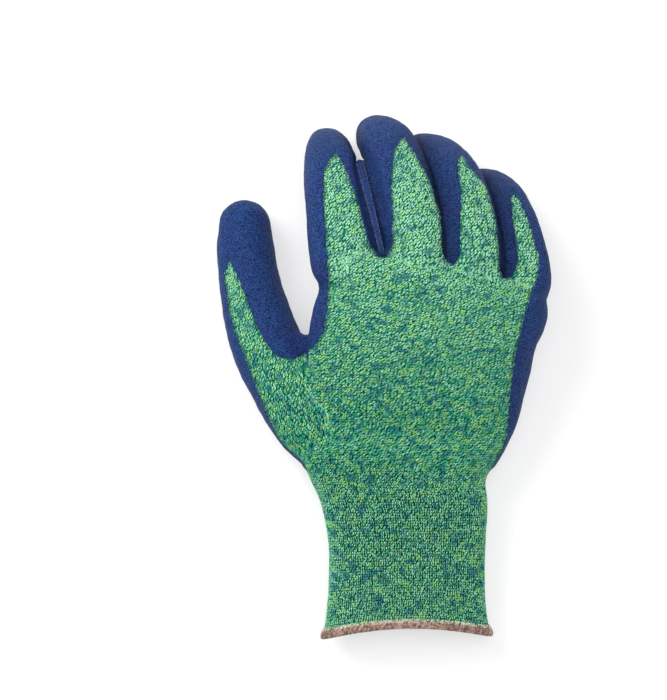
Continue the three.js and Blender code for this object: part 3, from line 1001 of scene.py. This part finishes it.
# Each leg has a small square of the map to itself, with its faces side by side in it.
def legUnwrap(count):
    grid = math.ceil(math.sqrt(count))
    flanks = [(flank / 3 + 0.02, (flank + 1) / 3 - 0.02, (flank + 0.5) / 3) for flank in range(3)]
    corners = [[(middle, 0), (right, 0.3), (left, 0.3)] for left, right, middle in flanks]
    corners += [[(left, 0.32), (right, 0.32), (right, 0.68), (left, 0.68)] for left, right, _ in flanks]
    corners += [[(middle, 1), (left, 0.7), (right, 0.7)] for left, right, middle in flanks]
    local = np.array([corner for face in corners for corner in face]) * 0.84 + 0.08
    cells = np.stack([np.arange(count) % grid, np.arange(count) // grid], axis=1)
    return (cells[:, None, :] + local[None, :, :]) / grid


for name, (legs, lights, soaked) in stitchSets.items():
    starts = np.arange(len(legs)) * legs.shape[1]
    faces = [tuple(int(corner + start) for corner in face) for start in starts for face in legFaces]
    piece = meshPiece(name, legs, faces)
    faceValues(piece, "leg", np.repeat(lights, len(legFaces)))
    faceValues(piece, "soaked", np.repeat(soaked, len(legFaces)))
    piece.data.uv_layers.new(name="OFBake").data.foreach_set("uv", legUnwrap(len(legs)).ravel())
    wear(piece, yarnMaterial)
    print(name, len(legs), "legs")

# The latex, over the palm, the sides and the tips. A narrow strip of it runs up between two fingers.
grain = {
    "ridges": 820,
    "fine": 1800,
    "warp": 420,
    "warpReach": 1.6 * mm,
    "sheenBlotches": 60,
    "deep": (12, 30, 66),
    "pale": (48, 82, 146),
    "purple": (62, 66, 146),
    # A painted shade colour, for the valleys between the fingers and the grooves along the strip.
    "dark": (5, 14, 36),
    "strip": (46, 68, 122),
    "stripHighlight": (104, 122, 160),
    "valley": 13 * mm,
    "valleyTurn": 0.45,
    "valleyLit": 0.65,
    "stripTop": (359, 157),
    "stripBottom": (382, 254),
    "stripHeight": 48 * mm,
    "stripAbove": (28 * mm, 32 * mm),
    "stripHalf": 1.7 * mm,
    "creaseShade": 2.2 * mm,
}
latex = copyOf(glove, "latex_coat_skin")
depth = trimmed(latex, -bare)
thick = eased(depth / coat["easeOver"])
points, normals = pointsOf(latex), normalsOf(latex)
lift = coat["rimLift"] + (coat["lift"] - coat["rimLift"]) * thick
lift += coat["crumple"] * noiseAt(points, coat["crumpleSize"], 5) * thick
points = points + normals * lift[:, None]
points[:, 2] = np.maximum(points[:, 2], 0)
putPoints(latex, points)
group = latex.vertex_groups.new(name="thick")
for index, weight in enumerate(thick):
    group.add([index], float(weight), "REPLACE")
applied(
    latex,
    "SOLIDIFY",
    thickness=coat["wall"],
    offset=-1,
    use_rim=True,
    vertex_group="thick",
    thickness_vertex_group=coat["rimWall"] / coat["wall"],
)
fingers = [digit for name, digit in digits.items() if name != "thumb"]
# Painted shade in the valleys between the fingers: latex near a second finger is darkened, most on
# flanks that face right, away from the light. Partly it is also the thicker, darker latex that gathers
# there.
valley = np.sort([awayFrom(digit, pointsOf(latex)) for digit in fingers], axis=0)[1]
# Solidify keeps the outer points first and adds the inner ones in the same order.
shaded = grain["valleyLit"] + (1 - grain["valleyLit"]) * eased(normals[:, 0] / grain["valleyTurn"])
valley = (1 - eased(valley / grain["valley"])) * np.resize(shaded, len(valley))
latex.data.attributes.new("valley", "FLOAT", "POINT").data.foreach_set("value", valley)
graph = Graph("latex", Roughness=0.55, Specular_IOR_Level=0.1)
place = graph.place()
inputs = {"Vector": place, "Scale": grain["warp"], "Detail": 2}
warp = graph.add("ShaderNodeTexNoise", {}, inputs, "Color")
bent = graph.add("ShaderNodeVectorMath", {"operation": "SCALE"}, {0: warp, "Scale": grain["warpReach"]})
bent = graph.add("ShaderNodeVectorMath", {"operation": "ADD"}, {0: place, 1: bent})
ridges = 1 - abs(graph.noise(grain["ridges"], 3, 0.6, bent) - 0.5) * 4
height = ridges * 0.3 + graph.noise(grain["fine"], 2, 0.6, place) * 1.4
# Painted sheen: purplish patches over the blue.
sheenBlotches = graph.noise(grain["sheenBlotches"]).ramp(0.45, 0.7)
tone = graph.mixed(colour(*grain["pale"]), colour(*grain["purple"]), sheenBlotches * 0.5)
# Painted highlight and shade: the crinkles' tops are paler and their hollows deeper blue.
tone = graph.mixed(colour(*grain["deep"]), tone, height.ramp(0.72, 1.12))
x, y, z = (graph.add("ShaderNodeSeparateXYZ", {}, {0: place}, axis) for axis in "XYZ")
top, bottom = (placeOf(grain[end], grain["stripHeight"]) for end in ("stripTop", "stripBottom"))
length = math.dist(top[:2], bottom[:2])
alongX, alongY = (bottom[:2] - top[:2]) / length
run = ((x - top[0]) * alongX + (y - top[1]) * alongY) / length
aside = abs((x - top[0]) * alongY - (y - top[1]) * alongX)
half = grain["stripHalf"] * (1 - run * 0.45)
inside = run.ramp(0.0, 0.06) * (1 - run.ramp(0.96, 1.0)) * z.ramp(*grain["stripAbove"])
onStrip = (half - aside).ramp(-0.25 * mm, 0.25 * mm) * inside
# Painted shadow in the groove along each side of the strip.
beside = (1 - (aside - half).ramp(0.0, grain["creaseShade"])) * (1 - onStrip) * inside
# Painted shade in the valleys between the fingers.
tone = graph.mixed(tone, colour(*grain["dark"]), graph.value("valley") * 0.92)
# Painted shadow along the strip's sides.
tone = graph.mixed(tone, colour(*grain["dark"]), beside * 0.7)
tone = graph.mixed(tone, colour(*grain["strip"]), onStrip * height.ramp(0.6, 1.1))
# Painted highlight along the strip's edges.
highlightOnEdge = (1 - abs(aside - half).ramp(0.15 * mm, 0.4 * mm)) * inside
tone = graph.mixed(tone, colour(*grain["stripHighlight"]), highlightOnEdge * height.ramp(0.7, 1.1) * 0.5)
latexMaterial = graph.finish(Base_Color=tone, Normal=graph.bump(height, 0.8 * mm, 1.0))
wear(latex, latexMaterial)
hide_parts("latex_coat")
print("latex", len(latex.data.vertices), "points")

# The overlocked hem: a soft roll, thread wound over it, and a chain of loops along its upper edge.
hem = {
    "rows": ((0.02, 0.0), (0.04, 0.45), (0.13, 0.75), (0.4, 0.8), (0.7, 0.75), (0.88, 0.5), (0.94, 0.1)),
    "inside": -1.3 * mm,
    "outerFloor": 0.2 * mm,
    "innerFloor": 2.4 * mm,
    "threadFloor": 0.15 * mm,
    "middleHeight": 13 * mm,
    "sides": 240,
    "wraps": 196,
    "wrapRows": (0.03, 0.05, 0.2, 0.45, 0.7, 0.88, 0.94),
    "wrapHeights": (-0.1, 0.8, 1.2, 1.25, 1.15, 0.8, 0.0),
    "slant": -2.6,
    "thread": 0.4 * mm,
    "threadSides": 5,
    "chain": 0.385 * mm,
    "chainSides": 5,
    "chainRow": 0.95,
    "chainSwing": 0.1,
    "chainRise": 0.6,
    "chainBob": 0.2,
    "linkSteps": 6,
    "turnSteps": 1440,
    "leanJitter": 0.08,
    "highJitter": 0.02,
    "threadJitter": 0.06,
    "mottle": 900,
    "fibres": 4200,
    "brown": (92, 62, 52),
    "pink": (186, 152, 136),
    "moss": (86, 96, 76),
    "pale": (206, 206, 184),
}


def tubeOf(line, radius, sides, closed=False):
    line = np.asarray(line)
    if closed:
        along = np.roll(line, -1, axis=0) - np.roll(line, 1, axis=0)
    else:
        along = np.gradient(line, axis=0)
    along /= np.linalg.norm(along, axis=1, keepdims=True)
    middle = line.mean(axis=0)
    if closed:
        middle[2] = hem["middleHeight"]
    out = line - middle
    out -= along * np.einsum("ij,ij->i", out, along)[:, None]
    out /= np.maximum(np.linalg.norm(out, axis=1, keepdims=True), 1e-9)
    side = np.cross(along, out)
    angles = np.linspace(0, 2 * math.pi, sides, endpoint=False)
    cosine, sine = np.cos(angles)[None, :, None], np.sin(angles)[None, :, None]
    return line[:, None, :] + (cosine * out[:, None, :] + sine * side[:, None, :]) * radius


def tubeFaces(count, sides, start, closed=False):
    faces = [face[::-1] for face in ringFaces(count, sides, closed)]
    if not closed:
        faces.append(range(sides)[::-1])
        faces.append(range((count - 1) * sides, count * sides))
    return [[start + corner for corner in face] for face in faces]


def hemRing(along, turns, grow, floor):
    return handRings(np.array([along * hand["hemLength"]]), turns, grow, floor)[0]


def hemPoint(along, turn, grow):
    return hemRing(along, np.array([turn]), grow, hem["threadFloor"])[0]


hemTurns = np.linspace(0, 2 * math.pi, hem["sides"], endpoint=False)
sections = [hemRing(along, hemTurns, grow * mm, hem["outerFloor"]) for along, grow in hem["rows"]]
sections += [hemRing(along, hemTurns, hem["inside"], hem["innerFloor"]) for along in (1.0, 0.5, 0.0)]
count = len(sections)
hemBand = meshPiece("hem_band", sections, ringFaces(count, hem["sides"], closed=True))
bandRows = [row for row, _ in hem["rows"]] + [0] * (count - len(hem["rows"]))
faceValues(hemBand, "row", np.repeat(bandRows, hem["sides"]))
faceValues(hemBand, "leg", np.full(count * hem["sides"], 0.3))

dense = np.linspace(0, 2 * math.pi, hem["turnSteps"], endpoint=False)
edge = hemRing(0.5, dense, 0.0, hand["floor"])
lengths = np.append(0, np.cumsum(np.linalg.norm(np.diff(np.vstack([edge, edge[:1]]), axis=0), axis=1)))


def evenTurns(count):
    wanted = np.arange(count) / count * lengths[-1]
    return np.interp(wanted, lengths, np.append(dense, 2 * math.pi))


starts = evenTurns(hem["wraps"])
steps = np.diff(np.append(starts, starts[0] + 2 * math.pi))
threads, faces, tones = [], [], []
for turn, step in zip(starts, steps):
    lean = hem["slant"] * step + chance.normal(0, hem["leanJitter"]) * step
    high = 1 + chance.normal(0, hem["highJitter"])
    line = [
        hemPoint(row * high, turn + lean * row, rise * mm)
        for row, rise in zip(hem["wrapRows"], hem["wrapHeights"])
    ]
    radius = hem["thread"] * (1 + chance.normal(0, hem["threadJitter"]))
    tube = tubeOf(line, radius, hem["threadSides"])
    faces += tubeFaces(len(line), hem["threadSides"], len(threads) * tube.shape[0] * tube.shape[1])
    threads.append(tube)
    tones += [chance.random()] * (hem["threadSides"] * (len(line) - 1) + 2)
hemThread = meshPiece("hem_thread", np.array(threads), faces)
faceValues(hemThread, "leg", tones)
threadRows = np.repeat(hem["wrapRows"][:-1], hem["threadSides"])
faceValues(hemThread, "row", np.tile(np.append(threadRows, (0, 1)), hem["wraps"]))

links = hem["wraps"] * hem["linkSteps"]
swing = np.sin(np.arange(links) / hem["linkSteps"] * 2 * math.pi)
rows = hem["chainRow"] + hem["chainSwing"] * swing
rises = (hem["chainRise"] + hem["chainBob"] * swing) * mm
line = [hemPoint(row, turn, rise) for row, turn, rise in zip(rows, evenTurns(links), rises)]
tube = tubeOf(line, hem["chain"], hem["chainSides"], closed=True)
hemChain = meshPiece("hem_chain", tube, tubeFaces(links, hem["chainSides"], 0, closed=True))
faceValues(hemChain, "row", np.ones(links * hem["chainSides"]))
faceValues(hemChain, "leg", np.repeat(chance.random(links), hem["chainSides"]))

graph = Graph("overlock_yarn", Roughness=0.9, Sheen_Weight=0.25)
share = (graph.noise(hem["mottle"], 3) + graph.value("leg") * 0.2).ramp(0.4, 0.8)
lower = graph.mixed(colour(*hem["brown"]), colour(*hem["pink"]), share)
upper = graph.mixed(colour(*hem["moss"]), colour(*hem["pale"]), share)
tone = graph.mixed(lower, upper, graph.value("row").ramp(0.4, 0.85))
fibres = graph.noise(hem["fibres"], 2)
hemMaterial = graph.finish(Base_Color=tone, Normal=graph.bump(fibres, 0.15 * mm))
for piece in (hemBand, hemThread, hemChain):
    wear(piece, hemMaterial)
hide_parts("cuff_hem")
print("hem")

bpy.data.objects.remove(glove)

# The pale floor, the soft light and the camera.
room = {"floorSize": 4, "floorHeight": -0.1 * mm, "floorGlow": 0.5, "sky": 0.48}
bpy.ops.mesh.primitive_plane_add(size=room["floorSize"], location=(0, 0, room["floorHeight"]))
floor = bpy.context.active_object
bpy.ops.object.transform_apply(location=True)
floor.name = "floor"
grey, white = (0.5, 0.5, 0.5, 1), (1, 1, 1, 1)
glow = room["floorGlow"]
graph = Graph("floor", Roughness=0.9, Base_Color=grey, Emission_Color=white, Emission_Strength=glow)
floor.data.materials.append(graph.finish())

world = bpy.data.worlds.new("light")
bpy.context.scene.world = world
world.use_nodes = True
world.node_tree.nodes["Background"].inputs["Color"].default_value = white
world.node_tree.nodes["Background"].inputs["Strength"].default_value = room["sky"]
bpy.context.scene.view_settings.view_transform = "Standard"
lamps = {
    "key": {"place": (-0.75, 0.7, 0.95), "size": 0.8, "power": 15},
    "top": {"place": (0.15, 0.1, 1.4), "size": 0.7, "power": 9},
}
for name, lamp in lamps.items():
    light = bpy.data.lights.new(name, "AREA")
    light.size = lamp["size"]
    light.energy = lamp["power"]
    placed = bpy.data.objects.new(name, light)
    placed.location = lamp["place"]
    placed.rotation_euler = (-Vector(lamp["place"])).to_track_quat("-Z", "Y").to_euler()
    bpy.context.scene.collection.objects.link(placed)

cameraData = bpy.data.cameras.new("camera")
cameraData.sensor_fit = "VERTICAL"
cameraData.sensor_height = photo["sensor"]
cameraData.lens = photo["sensor"] * photo["distance"] / (photo["height"] * photo["pixel"])
camera = bpy.data.objects.new("camera", cameraData)
camera.location = (photo["x"], photo["y"], photo["atHeight"] + photo["distance"])
bpy.context.scene.collection.objects.link(camera)
bpy.context.scene.camera = camera
print("floor, light and camera")
